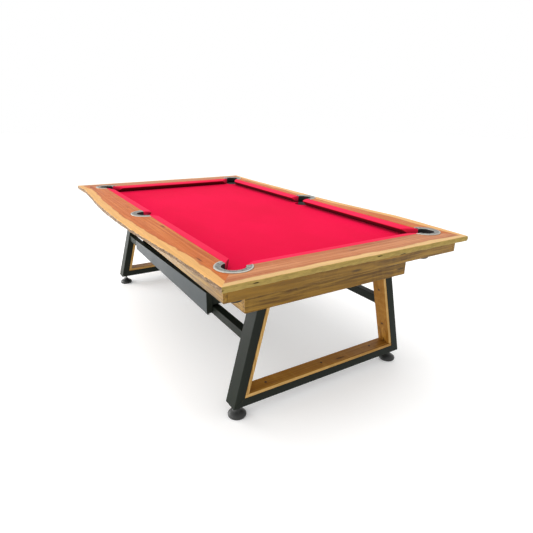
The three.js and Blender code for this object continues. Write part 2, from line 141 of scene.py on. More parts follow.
def put(name, shape, look, replaces=(), body="table", sharp=None, attributes=None, bevel=None,
        face_materials=None):
    """Makes one piece in the row frame and lets it ride on a body. The shape is its points and faces; the
    look is a slot name, which is not used, and then its materials. A bevelled piece is flat shaded, any other
    is smooth."""
    points, faces = shape
    slot, *materials = look
    mesh = bpy.data.meshes.new(name)
    points = np.asarray(points, float).reshape(-1, 3)
    mesh.from_pydata(points.tolist(), [], [tuple(int(i) for i in f) for f in faces])
    for key, values in (attributes or {}).items():
        vector = key == "grain"
        attribute = mesh.attributes.new(key, "FLOAT_VECTOR" if vector else "FLOAT", "POINT")
        field = "vector" if vector else "value"
        attribute.data.foreach_set(field, np.asarray(values, np.float32).ravel())
    mesh.validate()
    made = linked(name, mesh)
    for m in materials:
        mesh.materials.append(m)
    if face_materials is not None:
        mesh.polygons.foreach_set("material_index", np.asarray(face_materials, np.int32))
    face_out(made)
    mesh.polygons.foreach_set("use_smooth", [not bevel] * len(mesh.polygons))
    if sharp is not None:
        mesh.set_sharp_from_angle(angle=np.radians(sharp))
    if bevel:
        mod = made.modifiers.new("eased_edges", "BEVEL")
        mod.width, mod.segments = bevel
        mod.limit_method = "ANGLE"
        mod.angle_limit = np.radians(28)
        mod.harden_normals = False
    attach(made, body)
    if replaces:
        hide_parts(*replaces)
    return made


def face_out(made):
    """Turns the faces of a closed piece outwards."""
    work = bmesh.new()
    work.from_mesh(made.data)
    bmesh.ops.recalc_face_normals(work, faces=work.faces)
    work.to_mesh(made.data)
    work.free()


def box_points(low, high):
    """The eight corners of a box."""
    x, y, z = zip(low, high)
    return np.array([(a, b, c) for a in x for b in y for c in z], float)


BOX_FACES = ((0, 1, 3, 2), (4, 6, 7, 5), (0, 4, 5, 1), (2, 3, 7, 6), (0, 2, 6, 4), (1, 5, 7, 3))


def grain_of(points, along, seed=0.0):
    """Position along the grain and across it both ways; the seed's offset makes each board its own."""
    points = np.asarray(points, float).reshape(-1, 3)
    along = np.asarray(along, float) / np.linalg.norm(along)
    other = np.cross((0, 0, 1), along) if abs(along[2]) < 0.9 else np.array([0.0, 1.0, 0.0])
    other = other / np.linalg.norm(other)
    third = np.cross(along, other)
    shift = seed * np.array([3.1, 0.7, 0.3])
    return np.stack([points @ along, points @ other, points @ third], -1) + shift


def prism(outline, shift):
    """An outline moved by shift: two caps and a side for each edge."""
    outline = np.asarray(outline, float)
    n = len(outline)
    points = np.concatenate([outline, outline + np.asarray(shift, float)])
    faces = [tuple(range(n)), tuple(range(2 * n - 1, n - 1, -1))]
    faces += [(i, (i + 1) % n, n + (i + 1) % n, n + i) for i in range(n)]
    return points, faces


def turned(profile, segments=64):
    """A profile of (radius, height) turned about the upright axis; radius 0 ends are closed with a fan."""
    profile = np.asarray(profile, float)
    a = np.arange(segments) * 2 * np.pi / segments
    ring = np.stack([np.cos(a), np.sin(a)], -1)
    body = profile[(profile[:, 0] > 1e-7)]
    points = np.concatenate([
        body[:, None, 0, None] * ring[None, :, :],
        np.broadcast_to(body[:, None, 1, None], (len(body), segments, 1)),
    ], -1).reshape(-1, 3)
    faces = grid_faces(len(body), segments, close_cols=True)
    if profile[0, 0] <= 1e-7:
        points = np.concatenate([points, [[0, 0, profile[0, 1]]]])
        k = len(points) - 1
        faces += [(k, (i + 1) % segments, i) for i in range(segments)]
    if profile[-1, 0] <= 1e-7:
        points = np.concatenate([points, [[0, 0, profile[-1, 1]]]])
        k, base = len(points) - 1, (len(body) - 1) * segments
        faces += [(k, base + i, base + (i + 1) % segments) for i in range(segments)]
    if profile[0, 0] > 1e-7 and profile[-1, 0] > 1e-7:
        last = (len(body) - 1) * segments
        faces += [(last + i, last + (i + 1) % segments, (i + 1) % segments, i) for i in range(segments)]
    return points, faces


def tube(path, radius, sides=8, closed=False):
    """A round bead carried along a path: at each point a ring square to the path's direction there."""
    path = np.asarray(path, float)
    ahead = np.roll(path, -1, 0) - np.roll(path, 1, 0)
    if not closed:
        ahead[0], ahead[-1] = path[1] - path[0], path[-1] - path[-2]
    ahead /= np.linalg.norm(ahead, axis=1, keepdims=True)
    up = np.where(np.abs(ahead[:, 2:3]) < 0.9, (0.0, 0.0, 1.0), (1.0, 0.0, 0.0))
    u = np.cross(ahead, up)
    u /= np.linalg.norm(u, axis=1, keepdims=True)
    v = np.cross(ahead, u)
    a = np.arange(sides) * 2 * np.pi / sides
    ring = np.cos(a)[None, :, None] * u[:, None] + np.sin(a)[None, :, None] * v[:, None]
    points = path[:, None] + radius * ring
    faces = grid_faces(len(path), sides, close_rows=closed, close_cols=True)
    if not closed:
        last = (len(path) - 1) * sides
        faces += [tuple(range(sides))[::-1], tuple(last + i for i in range(sides))]
    return points.reshape(-1, 3), faces


def together(parts):
    """Several (points, faces) joined into one list of points and faces."""
    points, faces, base = [], [], 0
    for p, f in parts:
        points.append(np.asarray(p, float).reshape(-1, 3))
        faces += [tuple(int(i) + base for i in g) for g in f]
        base += len(points[-1])
    return np.concatenate(points), faces


# ---- materials ----
def tinted(colour, share):
    """A colour made darker or paler by a share, each channel at most 1."""
    return tuple(min(1.0, share * c) for c in colour)


class Finish:
    """A material being made: each method adds a node and gives back its output."""

    def __init__(self, name, **base):
        self.material = bpy.data.materials.new(name)
        self.material.use_nodes = True
        self.tree = self.material.node_tree
        self.shader = self.tree.nodes["Principled BSDF"]
        for key, value in base.items():
            self.set(key, value)

    def feed(self, socket, value):
        """Links an output to a socket, or gives the socket a plain value; a colour gets its alpha here."""
        if isinstance(value, bpy.types.NodeSocket):
            self.tree.links.new(value, socket)
        else:
            socket.default_value = (*value, 1.0) if socket.type == "RGBA" else value

    def set(self, key, value):
        self.feed(self.shader.inputs[key.replace("_", " ")], value)

    def node(self, kind, inputs=None, **settings):
        made = self.tree.nodes.new(kind)
        for key, value in settings.items():
            setattr(made, key, value)
        for key, value in (inputs or {}).items():
            self.feed(made.inputs[key], value)
        return made

    def place(self):
        return self.node("ShaderNodeTexCoord").outputs["Object"]

    def attribute(self, name, output="Vector"):
        return self.node("ShaderNodeAttribute", attribute_name=name).outputs[output]

    def stretch(self, vector, scale):
        return self.node("ShaderNodeMapping", {"Vector": vector, "Scale": scale}).outputs[0]

    def noise(self, vector, scale, detail=4.0, rough=0.55, distort=0.0):
        inputs = {"Vector": vector, "Scale": scale, "Detail": detail, "Roughness": rough,
                  "Distortion": distort}
        return self.node("ShaderNodeTexNoise", inputs).outputs["Fac"]

    def streaks(self, vector, along, across, detail, rough, distort=0.0):
        """Noise with so many spots to the metre along the grain and across it."""
        return self.noise(self.stretch(vector, (along, across, across)), 1.0, detail, rough, distort)

    def cells(self, vector, scale, feature="F1"):
        inputs = {"Vector": vector, "Scale": scale}
        return self.node("ShaderNodeTexVoronoi", inputs, feature=feature).outputs["Distance"]

    def threads(self, vector, direction):
        inputs = {"Vector": vector, "Scale": 620.0, "Distortion": 0.6}
        return self.node("ShaderNodeTexWave", inputs, bands_direction=direction).outputs["Fac"]

    def math(self, operation, a, b=0.5):
        return self.node("ShaderNodeMath", {0: a, 1: b}, operation=operation).outputs[0]

    def add(self, a, b):
        return self.math("ADD", a, b)

    def less(self, a, b):
        return self.math("SUBTRACT", a, b)

    def times(self, a, b):
        return self.math("MULTIPLY", a, b)

    def between(self, value, low, high, to_low=0.0, to_high=1.0, ramp="SMOOTHSTEP"):
        """Maps low..high to to_low..to_high and stays level outside."""
        inputs = {"Value": value, "From Min": low, "From Max": high, "To Min": to_low, "To Max": to_high}
        return self.node("ShaderNodeMapRange", inputs, interpolation_type=ramp).outputs["Result"]

    def blend(self, amount, a, b):
        # A colour mix node keeps its factor and its two colours in sockets 0, 6 and 7.
        return self.node("ShaderNodeMix", {0: amount, 6: a, 7: b}, data_type="RGBA").outputs[2]

    def edge_wear(self):
        """1 on outward edges, from how the surface turns."""
        return self.between(self.node("ShaderNodeNewGeometry").outputs["Pointiness"], 0.52, 0.60)

    def made(self, colour, rough, height, depth, strength):
        """The finished material, with its colour, roughness and relief."""
        self.set("Base_Color", colour)
        self.set("Roughness", rough)
        bump = self.node("ShaderNodeBump", {"Height": height, "Distance": depth, "Strength": strength})
        self.set("Normal", bump.outputs[0])
        return self.material


def live_edge(f, grain, flame, fine, body, deep, sap, sap_width, face):
    """Sapwood band next to the live edge with a dark line at its inner side, and bark on the edge, or, where
    a face colour is given, cleaned sapwood with a few slots of bark. Gives colour, relief and bark mask."""
    bark = f.attribute("bark", "Fac")
    drift = f.between(f.streaks(grain, 3.4, 12.0, 3.0, 0.55), 0.2, 0.8, -0.020, 0.020, "LINEAR")
    edge = f.add(f.attribute("rim", "Fac"), drift)
    sap_mask = f.between(edge, sap_width - 0.007, sap_width + 0.007, 1.0, 0.0)
    sap_body = f.blend(f.between(flame, 0.35, 0.68), tinted(sap, 0.86), sap)
    sap_body = f.blend(f.between(fine, 0.4, 0.75, 0.0, 0.3), sap_body, tinted(sap, 0.66))
    line = f.between(f.math("ABSOLUTE", f.less(edge, sap_width + 0.003)), 0.0, 0.008, 0.45, 0.0)
    body = f.blend(sap_mask, body, sap_body)
    body = f.blend(line, body, tinted(deep, 0.8))
    crust = f.streaks(grain, 26.0, 140.0, 5.0, 0.65)
    crust_share = f.between(crust, 0.35, 0.65)
    if face:
        mask = f.between(bark, 0.2, 0.4)
        slots = f.between(f.cells(f.stretch(grain, (6.5, 46.0, 46.0)), 1.0), 0.10, 0.17, 1.0, 0.0)
        skin = f.blend(crust_share, tinted(face, 0.74), face)
        skin = f.blend(slots, skin, (0.012, 0.008, 0.004))
        dents = f.less(f.times(crust, 0.5), slots)
    else:
        ragged = f.between(f.streaks(grain, 30.0, 60.0, 4.0, 0.6), 0.25, 0.75, -0.35, 0.35, "LINEAR")
        mask = f.between(f.add(bark, ragged), 0.45, 0.62)
        plates = f.cells(f.stretch(grain, (24.0, 130.0, 110.0)), 1.0, "DISTANCE_TO_EDGE")
        skin = f.blend(crust_share, (0.13, 0.082, 0.048), (0.31, 0.215, 0.14))
        skin = f.blend(f.between(plates, 0.0, 0.07, 0.7, 0.0), skin, (0.030, 0.019, 0.011))
        dents = f.add(crust, f.between(plates, 0.0, 0.12))
    return f.blend(mask, body, skin), f.times(f.times(dents, mask), 5.0), mask


def timber(name, deep, mid, pale, gloss=0.45, shine=0.12, coat=0.05, ring_gap=55.0, streak=0.9,
           sap=None, sap_width=0.055, face=None):
    """Sawn timber: rings cut through as long flames, fine pores along the grain, slow colour drift and knots.
    A sapwood colour makes it a slab with a live edge."""
    f = Finish(name, Specular_IOR_Level=shine, Coat_Weight=coat, Coat_Roughness=0.22)
    grain = f.attribute("grain")
    slow = f.streaks(grain, 0.9, 5.0, 3.0, 0.5)
    bend = f.streaks(grain, 1.6, 9.0, 2.0, 0.5)
    shift = f.node("ShaderNodeCombineXYZ", {"Y": f.times(bend, 0.035), "Z": f.times(slow, 0.02)}).outputs[0]
    bent = f.node("ShaderNodeVectorMath", {0: grain, 1: shift}, operation="ADD").outputs[0]
    flame = f.streaks(bent, streak, ring_gap, 4.0, 0.64)
    fine = f.streaks(bent, 4.0, 420.0, 3.0, 0.6)
    pores = f.between(f.streaks(bent, 22.0, 1500.0, 2.0, 0.5), 0.60, 0.72)
    figure = f.streaks(grain, 26.0, 7.0, 2.0, 0.5, 0.8)
    knots = f.cells(f.stretch(bent, (2.6, 13.0, 13.0)), 1.0)
    body = f.blend(f.between(flame, 0.36, 0.66), deep, pale)
    body = f.blend(f.between(slow, 0.38, 0.62, 0.0, 0.75), body, mid)
    body = f.blend(f.between(fine, 0.35, 0.7, 0.0, 0.35), body, tinted(mid, 0.55))
    body = f.blend(f.between(figure, 0.45, 0.75, 0.0, 0.22), body, pale)
    body = f.blend(f.between(knots, 0.05, 0.12, 0.75, 0.0), body, tinted(deep, 0.28))
    height = f.add(f.times(fine, 0.5), f.times(pores, -0.8))
    rough = f.between(fine, 0.3, 0.7, gloss - 0.06, gloss + 0.08)
    if sap:
        body, dents, mask = live_edge(f, grain, flame, fine, body, deep, sap, sap_width, face)
        height = f.add(height, dents)
        rough = f.math("MAXIMUM", rough, f.times(mask, 0.85))
    body = f.blend(f.times(pores, 0.45), body, tinted(deep, 0.3))
    return f.made(body, rough, height, 0.0003, 0.6)


def billiard_cloth(name, colour, shade, under=None):
    """Worsted cloth: a close weave with a short nap, slow changes of shade and a soft sheen; painted shade,
    darker, under a cushion's nose."""
    f = Finish(name, Sheen_Weight=0.05, Sheen_Roughness=0.5, Sheen_Tint=(1.0, 0.25, 0.35),
               Specular_IOR_Level=0.04)
    place = f.place()
    weave = f.times(f.threads(place, "X"), f.threads(place, "Y"))
    nap = f.noise(place, 900.0, 3.0, 0.6)
    cloud = f.noise(f.stretch(place, (1.3, 2.2, 2.2)), 1.0, 3.0, 0.5)
    fuzz = f.noise(place, 160.0, 4.0, 0.65)
    body = f.blend(f.between(cloud, 0.3, 0.7), shade, colour)
    body = f.blend(f.between(weave, 0.0, 0.8, 0.28, 0.0), body, tinted(shade, 0.55))
    body = f.blend(f.between(fuzz, 0.55, 0.8, 0.0, 0.12), body, (0.9, 0.10, 0.17))
    # Painted shade: the under colour darkens the cloth where the under attribute rises to 1, below a
    # cushion's nose.
    if under:
        body = f.blend(f.attribute("under", "Fac"), body, under)
    return f.made(body, 0.95, f.add(weave, f.times(nap, 0.8)), 0.00025, 0.5)


def cast_pewter(name, colour):
    """Sand-cast metal with a worn, paler rim, dark blotches and a fine grainy skin."""
    f = Finish(name, Metallic=0.9, Specular_IOR_Level=0.5)
    place = f.place()
    skin = f.noise(place, 420.0, 4.0, 0.6)
    smudge = f.noise(place, 18.0, 4.0, 0.6)
    blotch = f.noise(place, 85.0, 4.0, 0.65)
    pits = f.between(f.cells(place, 260.0), 0.08, 0.2, 1.0, 0.0)
    rubbed = f.between(f.add(f.attribute("worn", "Fac"), f.times(blotch, 0.5)), 0.55, 0.95)
    body = f.blend(f.between(smudge, 0.3, 0.7), tinted(colour, 0.55), colour)
    body = f.blend(f.between(blotch, 0.46, 0.58, 0.0, 0.8), body, tinted(colour, 0.22))
    body = f.blend(f.times(rubbed, 0.65), body, tinted(colour, 1.9))
    body = f.blend(f.times(pits, 0.4), body, tinted(colour, 0.35))
    return f.made(body, f.between(smudge, 0.3, 0.7, 0.30, 0.48), f.less(skin, pits), 0.0005, 0.45)


def powder_coat(name, colour, rough):
    """Powder-coated steel: a fine orange-peel skin, rubbed edges, a little dust and drifting gloss."""
    f = Finish(name, Specular_IOR_Level=0.12)
    place = f.place()
    drift = f.noise(place, 5.0, 4.0, 0.6)
    speck = f.between(f.noise(place, 1500.0, 2.0, 0.5), 0.62, 0.78)
    rubbed = tuple(min(1.0, 2.6 * c + 0.02) for c in colour)
    body = f.blend(f.between(drift, 0.3, 0.7), tinted(colour, 0.82), tinted(colour, 1.15))
    body = f.blend(f.times(speck, 0.25), body, tinted(colour, 2.2))
    body = f.blend(f.times(f.edge_wear(), 0.5), body, rubbed)
    gloss = f.between(drift, 0.3, 0.7, rough - 0.06, rough + 0.08)
    return f.made(body, gloss, f.noise(place, 650.0, 2.0, 0.5), 0.0002, 0.35)


def bright_metal(name, colour, rough=0.28):
    """Zinc-plated steel: brushed one way, with faint clouding."""
    f = Finish(name, Metallic=1.0)
    place = f.place()
    brush = f.noise(f.stretch(place, (900.0, 900.0, 60.0)), 1.0, 3.0, 0.6)
    body = f.blend(f.between(f.noise(place, 30.0, 4.0, 0.6), 0.3, 0.7), tinted(colour, 0.7), colour)
    return f.made(body, f.between(brush, 0.3, 0.7, rough - 0.06, rough + 0.12), brush, 0.0001, 0.3)


def moulded_black(name, colour, rough):
    """Moulded rubber-like plastic: fine leather grain, scuffs on its edges."""
    f = Finish(name, Specular_IOR_Level=0.45)
    place = f.place()
    scuff = f.noise(place, 70.0, 5.0, 0.65)
    body = f.blend(f.between(scuff, 0.5, 0.75, 0.0, 0.6), colour, tinted(colour, 3.0))
    body = f.blend(f.times(f.edge_wear(), 0.5), body, tinted(colour, 5.0))
    gloss = f.between(scuff, 0.3, 0.7, rough - 0.05, rough + 0.12)
    return f.made(body, gloss, f.cells(place, 520.0, "SMOOTH_F1"), 0.0003, 0.4)


def cut_slate(name):
    """Honed slate: grey with faint layers and chalky bloom."""
    f = Finish(name)
    place = f.place()
    layers = f.noise(f.stretch(place, (3.0, 3.0, 160.0)), 1.0, 5.0, 0.6)
    bloom = f.noise(place, 14.0, 5.0, 0.62)
    body = f.blend(f.between(layers, 0.3, 0.7), (0.045, 0.05, 0.055), (0.11, 0.12, 0.125))
    body = f.blend(f.between(bloom, 0.5, 0.8, 0.0, 0.4), body, (0.22, 0.22, 0.21))
    return f.made(body, 0.7, f.add(layers, bloom), 0.0006, 0.4)


def drawer_felt(name):
    """Short black felt."""
    f = Finish(name, Sheen_Weight=0.4, Sheen_Roughness=0.5)
    fibre = f.noise(f.place(), 700.0, 4.0, 0.7)
    return f.made(f.blend(fibre, (0.006, 0.006, 0.007), (0.03, 0.03, 0.033)), 0.95, fibre, 0.0006, 0.6)


RAIL_WOOD = timber("live_edge_slab", (0.34, 0.062, 0.006), (0.51, 0.118, 0.014), (0.64, 0.215, 0.050),
                   gloss=0.42, shine=0.05, sap=(0.73, 0.39, 0.125))
END_WOOD = timber("live_edge_slab_end", (0.32, 0.075, 0.012), (0.48, 0.150, 0.042), (0.60, 0.250, 0.100),
                  gloss=0.42, shine=0.10, sap=(0.70, 0.44, 0.175), sap_width=0.034, face=(0.38, 0.27, 0.078))
APRON_WOOD = timber("apron_board", (0.095, 0.042, 0.001), (0.245, 0.122, 0.003), (0.34, 0.190, 0.022),
                    gloss=0.4, shine=0.06, coat=0.45, ring_gap=75.0, streak=3.2)
BOX_WOOD = timber("box_board", (0.090, 0.038, 0.001), (0.245, 0.116, 0.003), (0.35, 0.190, 0.022),
                  gloss=0.4, coat=0.2, ring_gap=75.0, streak=3.2)
LINER_WOOD = timber("leg_liner", (0.16, 0.060, 0.005), (0.32, 0.134, 0.014), (0.48, 0.24, 0.046))
LINER_EDGE = timber("leg_liner_edge", (0.30, 0.14, 0.02), (0.48, 0.27, 0.07), (0.62, 0.40, 0.15))
CLOTH = billiard_cloth("red_bed_cloth", (0.79, 0.001, 0.056), (0.69, 0.001, 0.042))
# Paler, pinker red than the bed cloth: painted sheen on the cushion tops. The under colour is painted shade
# below the cushion's nose.
CUSHION_CLOTH = billiard_cloth("red_cushion_cloth_painted_sheen_and_shade", (0.84, 0.028, 0.090), (0.78, 0.018, 0.070),
                               under=(0.10, 0.0005, 0.006))
PEWTER = cast_pewter("cast_pewter", (0.31, 0.305, 0.275))
STEEL = powder_coat("charcoal_powder_coat", (0.009, 0.012, 0.008), 0.5)
DRAWER_PAINT = powder_coat("slate_grey_powder_coat", (0.037, 0.043, 0.045), 0.45)
ZINC = bright_metal("zinc_plate", (0.52, 0.52, 0.50))
BLACK = moulded_black("moulded_black", (0.014, 0.015, 0.014), 0.45)
POCKET_BLACK = moulded_black("pocket_black", (0.004, 0.004, 0.004), 0.6)
SCREW_BLACK = moulded_black("black_oxide_screw", (0.003, 0.003, 0.003), 0.6)
SLATE = cut_slate("honed_slate")
FELT = drawer_felt("drawer_felt")
PAINTED, PLATED = ("painted_steel", STEEL), ("bright_steel", ZINC)


# ---- slab rails ----
def spline(points, u):
    """Points at u from 0 to 1 along a curve through all of them, each stretch a cubic whose ends lean
    along the line between their neighbours."""
    p = np.asarray(points, float)
    n = len(p) - 1
    t = np.asarray(u) * n
    i = np.clip(t.astype(int), 0, n - 1)
    w = (t - i)[:, None]
    p0, p1 = p[np.maximum(i - 1, 0)], p[i]
    p0 = np.where((i == 0)[:, None], p1, p0)
    p2, p3 = p[i + 1], p[np.minimum(i + 2, n)]
    v0, v1 = (p2 - p0) / 2, (p3 - p1) / 2
    return (2 * p1 - 2 * p2 + v0 + v1) * w**3 + (-3 * p1 + 3 * p2 - 2 * v0 - v1) * w**2 + v0 * w + p1


def far_side(start, ahead, centre, radius):
    """How far a level ray runs before it leaves a circle, or 0 where it misses it."""
    to = start - centre
    b = (to * ahead).sum(-1)
    c = (to * to).sum(-1) - radius**2
    inside = b * b - c
    return np.where(inside > 0, np.maximum(-b + np.sqrt(np.maximum(inside, 0)), 0), 0)


def slab_rail(name, side, inner, outer_curve, along, rebate, seed, material, undercut=0.0):
    """A mitred slab. At each place along it a section runs from the inner line, or from the rim of a pocket
    casting, out to the live edge: flat top, worn arris, uneven bark face, then back under to the thick part.
    Towards +X the bark face leans back by the undercut, except at the mitre."""
    dense = np.linspace(0, 1, 24001)

    def rays(u):
        start = inner[0] + (inner[1] - inner[0]) * u[:, None]
        out = outer_curve(u) - start
        reach = np.linalg.norm(out, axis=1)
        ahead = out / reach[:, None]
        begin = np.zeros(len(u))
        for _, sx, sy in POCKETS:
            centre, r, rim = pocket_place(sx, sy)
            begin = np.maximum(begin, far_side(start, ahead, np.array(centre), r + rim + POCKET_GAP))
        return start, ahead, reach, begin

    start, ahead, reach, begin = rays(dense)
    edge = start + ahead * begin[:, None]
    length = np.concatenate([[0], np.cumsum(np.linalg.norm(np.diff(edge, axis=0), axis=1))])
    rows = int(length[-1] / 0.0045)
    u = np.interp(np.linspace(0, length[-1], rows), length, dense)
    start, ahead, reach, begin = rays(u)
    s = (start + ahead * reach[:, None]) @ np.asarray(along[:2], float)
    taper = np.minimum(1, np.minimum(u, 1 - u) * 40)
    tuck = undercut * np.clip((END_X - np.abs(s)) / 0.16, 0, 1) * np.clip((s + 0.2) / 0.6, 0, 1)
    wobble = (0.0022 * ripple(s, seed, 7, 0.31) + 0.0007 * ripple(s, seed + 1, 5, 0.04)) * taper
    reach = reach + wobble - 0.001
    worn = 0.0028 + 0.0018 * ripple(s, seed + 2, 6, 0.22)

    low_edge = RAIL_TOP - SLAB_T + (0.0018 * ripple(s, seed + 3, 6, 0.16)) * taper
    parts, rims, barks = [], [], []

    def column(distance, height, rim, bark):
        level = start + ahead * distance[:, None]
        parts.append(np.stack([level[:, 0], level[:, 1], height], -1))
        rims.append(np.broadcast_to(rim, len(u)))
        barks.append(np.broadcast_to(bark, len(u)))

    flat = np.full(len(u), RAIL_TOP)
    seat = np.full(len(u), SLAB_SEAT)
    column(begin, flat - 0.001, reach - begin, 0)
    for t in np.linspace(0, 1, 15) ** 0.8:
        d = (begin + 0.0012) * (1 - t) + (reach - worn) * t
        column(d, flat, reach - d, 0.0)
    for t in (0.35, 0.7):
        column(reach - worn * (1 - t) ** 1.5, flat - worn * (1 - np.sqrt(1 - t * t)), 0.0, 0.15)
    face = 0.0035 + 0.0030 * ripple(s, seed + 4, 6, 0.27)
    for h in (0, 0.04, 0.12, 0.22, 0.33, 0.45, 0.57, 0.69, 0.80, 0.89, 0.96, 1.0):
        z = (RAIL_TOP - worn) * (1 - h) + low_edge * h
        bulge = face * np.sin(np.pi * (0.12 + 0.80 * h)) - 0.002 * h
        rough = 0.0011 * ripple2(s, z, seed + 5, 8, 0.05) * np.sin(np.pi * min(1, 0.05 + h)) * taper
        crust = 0.25 + 0.75 * np.sin(np.pi * (0.1 + 0.85 * h)) ** 0.5
        column(reach + bulge + rough - tuck * h ** 1.2, z, -0.03 * h, crust)
    under = reach - tuck - 0.004
    step = np.maximum(rebate(ahead), begin + 0.0006)
    column(under - 0.004, low_edge * 0.4 + (RAIL_TOP - SLAB_T) * 0.6, 0.0, 0.35)
    column(under * 0.75 + 0.25 * step, flat - SLAB_T, 0.02, 0.0)
    column(step, flat - SLAB_T, 0.05, 0.0)
    column(step, seat, 0.05, 0.0)
    column(begin, seat, 0.08, 0.0)
    points = np.stack(parts, 1) + (MID_X, MID_Y, 0)
    attributes = {"grain": grain_of(points, along, seed), "rim": np.stack(rims, 1),
                  "bark": np.stack(barks, 1)}
    put(f"live_edge_{name}", (points, swept_faces(*points.shape[:2])), ("live_edge_wood", material),
        (f"rail_{side}",), sharp=38, attributes=attributes)


def fanned(place, half, reach):
    """Square to the inner line up to the pocket's rim, then spreading evenly to the outer corner."""
    first = CORNER_X - JOIN_X + half - np.sqrt((CORNER_R + CORNER_RIM) ** 2 - (JOIN_X - CORNER_X) ** 2)
    past = np.maximum(np.abs(place) - first, 0) / (half - first)
    return np.sign(place) * (np.minimum(np.abs(place), first) + past * (reach - first))


def long_edge(points, sy):
    table = spline(points, np.linspace(0, 1, 4001)) * MM

    def curve(u):
        x = fanned((2 * u - 1) * (JOIN_X - GAP), JOIN_X - GAP, END_X)
        return np.stack([x, sy * np.interp(x, table[:, 0], table[:, 1])], -1)
    return curve


def short_edge(sx):
    low, high = -FRONT_EDGE[0 if sx < 0 else -1][1] * MM, BACK_EDGE[0 if sx < 0 else -1][1] * MM

    def curve(u):
        y = (2 * u - 1) * (JOIN_Y - GAP)
        y = fanned(y, JOIN_Y - GAP, np.where(y < 0, -low, high))
        share = (y - low) / (high - low)
        wave = 0.0025 * np.abs(np.sin(np.pi * share) * np.sin(3 * np.pi * share + 1))
        return np.stack([sx * (END_X - wave), y], -1)
    return curve


def rebate_beyond(out, axis, sign):
    """How far along each ray the rebate under the slab ends: a line so far out from the inner line."""
    return lambda ahead: out / np.maximum(sign * ahead[:, axis], 0.05)


for end, sy, edge_points, seed in (("front", -1, FRONT_EDGE, 11), ("back", 1, BACK_EDGE, 23)):
    line = np.array([[-JOIN_X + GAP, sy * JOIN_Y], [JOIN_X - GAP, sy * JOIN_Y]])
    slab_rail(f"long_slab_{end}", end, line, long_edge(edge_points, sy), (1, 0, 0),
              rebate_beyond(SLATE_Y + 0.002 - JOIN_Y, 1, sy), seed, RAIL_WOOD, 0.009)
for side, sx, seed in (("left", -1, 37), ("right", 1, 41)):
    line = np.array([[sx * JOIN_X, -JOIN_Y + GAP], [sx * JOIN_X, JOIN_Y - GAP]])
    slab_rail(f"end_slab_{side}", side, line, short_edge(sx), (0, 1, 0),
              rebate_beyond(SLATE_X + 0.012 - JOIN_X, 0, sx), seed, END_WOOD)


# ---- bed cloth: flat on the slate, rolled down over the rim of each pocket hole ----
def pocket_arc(sx, sy, half_x, half_y, steps=40):
    """The cloth's edge round one pocket, from side to side of the sheet, anticlockwise about the table."""
    (cx, cy), r, _ = pocket_place(sx, sy)
    r += 0.0045
    to_x, to_y = half_x - abs(cx), half_y - abs(cy)
    if sx == 0:
        spread = np.pi - np.arccos(np.clip(to_y / r, -1, 1))
        angles = -sy * np.pi / 2 + np.linspace(-spread, spread, steps)
    else:
        middle = np.arctan2(-sy, -sx)
        first = np.arctan2(sy * to_y, -sx * np.sqrt(r * r - to_y**2))
        last = np.arctan2(-sy * np.sqrt(r * r - to_x**2), sx * to_x)
        first, last = ((a - middle + np.pi) % (2 * np.pi) - np.pi for a in (first, last))
        angles = middle + np.linspace(first, last, steps)
    arc = np.stack([cx + r * np.cos(angles), cy + r * np.sin(angles)], -1)
    if sx == 0:
        forward = (arc[0, 0] < arc[-1, 0]) == (sy < 0)
    else:
        forward = arc[0, 0] * arc[-1, 1] > arc[0, 1] * arc[-1, 0]
    return arc if forward else arc[::-1]


def bed_cloth():
    """An outline of straight sides and pocket arcs is filled flat; along each arc the cloth turns down
    through a quarter circle and hangs 16 mm inside the slate's hole."""
    bend, drop = 0.0042, 0.016
    order = ((-1, -1), (0, -1), (1, -1), (1, 1), (0, 1), (-1, 1))
    arcs = [pocket_arc(sx, sy, JOIN_X - 0.0005, JOIN_Y - 0.0005) for sx, sy in order]
    outline = np.concatenate(arcs)
    points = [np.column_stack([outline, np.full(len(outline), CLOTH_TOP)])]
    faces = [tuple(range(len(outline)))]
    base, first = len(outline), 0
    for (sx, sy), arc in zip(order, arcs):
        count = len(arc)
        inward = np.array(pocket_place(sx, sy)[0]) - arc
        inward /= np.linalg.norm(inward, axis=1, keepdims=True)
        turn = np.linspace(0, np.pi / 2, 6)[1:]
        down = [(bend * np.sin(t), bend * (1 - np.cos(t))) for t in turn] + [(bend, drop)]
        previous = np.arange(first, first + count)
        first += count
        for reach, fall in down:
            points.append(np.column_stack([arc + inward * reach, np.full(count, CLOTH_TOP - fall)]))
            row = np.arange(base, base + count)
            faces += [(previous[i], row[i], row[i + 1], previous[i + 1]) for i in range(count - 1)]
            previous, base = row, base + count
    points = np.concatenate(points) + (MID_X, MID_Y, 0)
    mesh = bpy.data.meshes.new("bed_cloth_sheet")
    mesh.from_pydata(points.tolist(), [], [tuple(int(i) for i in f) for f in faces])
    mesh.materials.append(CLOTH)
    made = linked("bed_cloth_sheet", mesh)
    thick = made.modifiers.new("cloth_thickness", "SOLIDIFY")
    thick.thickness = 0.0008
    thick.offset = -1
    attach(made, "table")
    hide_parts("bed_cloth")


bed_cloth()


# ---- cushions ----
def cushion_section():
    """Distance from the slab and height round a cushion: feather strip flat at the back, a soft slope to a
    rounded nose, then undercut back to the bed."""
    top, low = RAIL_TOP - 0.0008, CLOTH_TOP + GAP
    nose_z, r = top - 0.0108, 0.0034
    around = np.linspace(np.radians(68), np.radians(-62), 11)
    nose = np.stack([CUSHION_W - r + r * np.cos(around) - 0.0004, nose_z + r * np.sin(around)], -1)
    slope = np.array([[0.0006, 0.0022], [0.0016, 0.0006], [0.004, 0], [0.012, 0.0002],
                      [0.022, 0.0009], [0.032, 0.0021], [0.041, 0.0038], [0.0485, 0.0058]])
    slope[:, 1] = top - slope[:, 1]
    under = np.array([[0.050, nose_z - 0.0085], [0.040, nose_z - 0.0170], [0.030, nose_z - 0.0250],
                      [0.0215, low + 0.0035], [0.019, low + 0.0008], [0.015, low], [0.0006, low]])
    return np.concatenate([slope, nose, under])


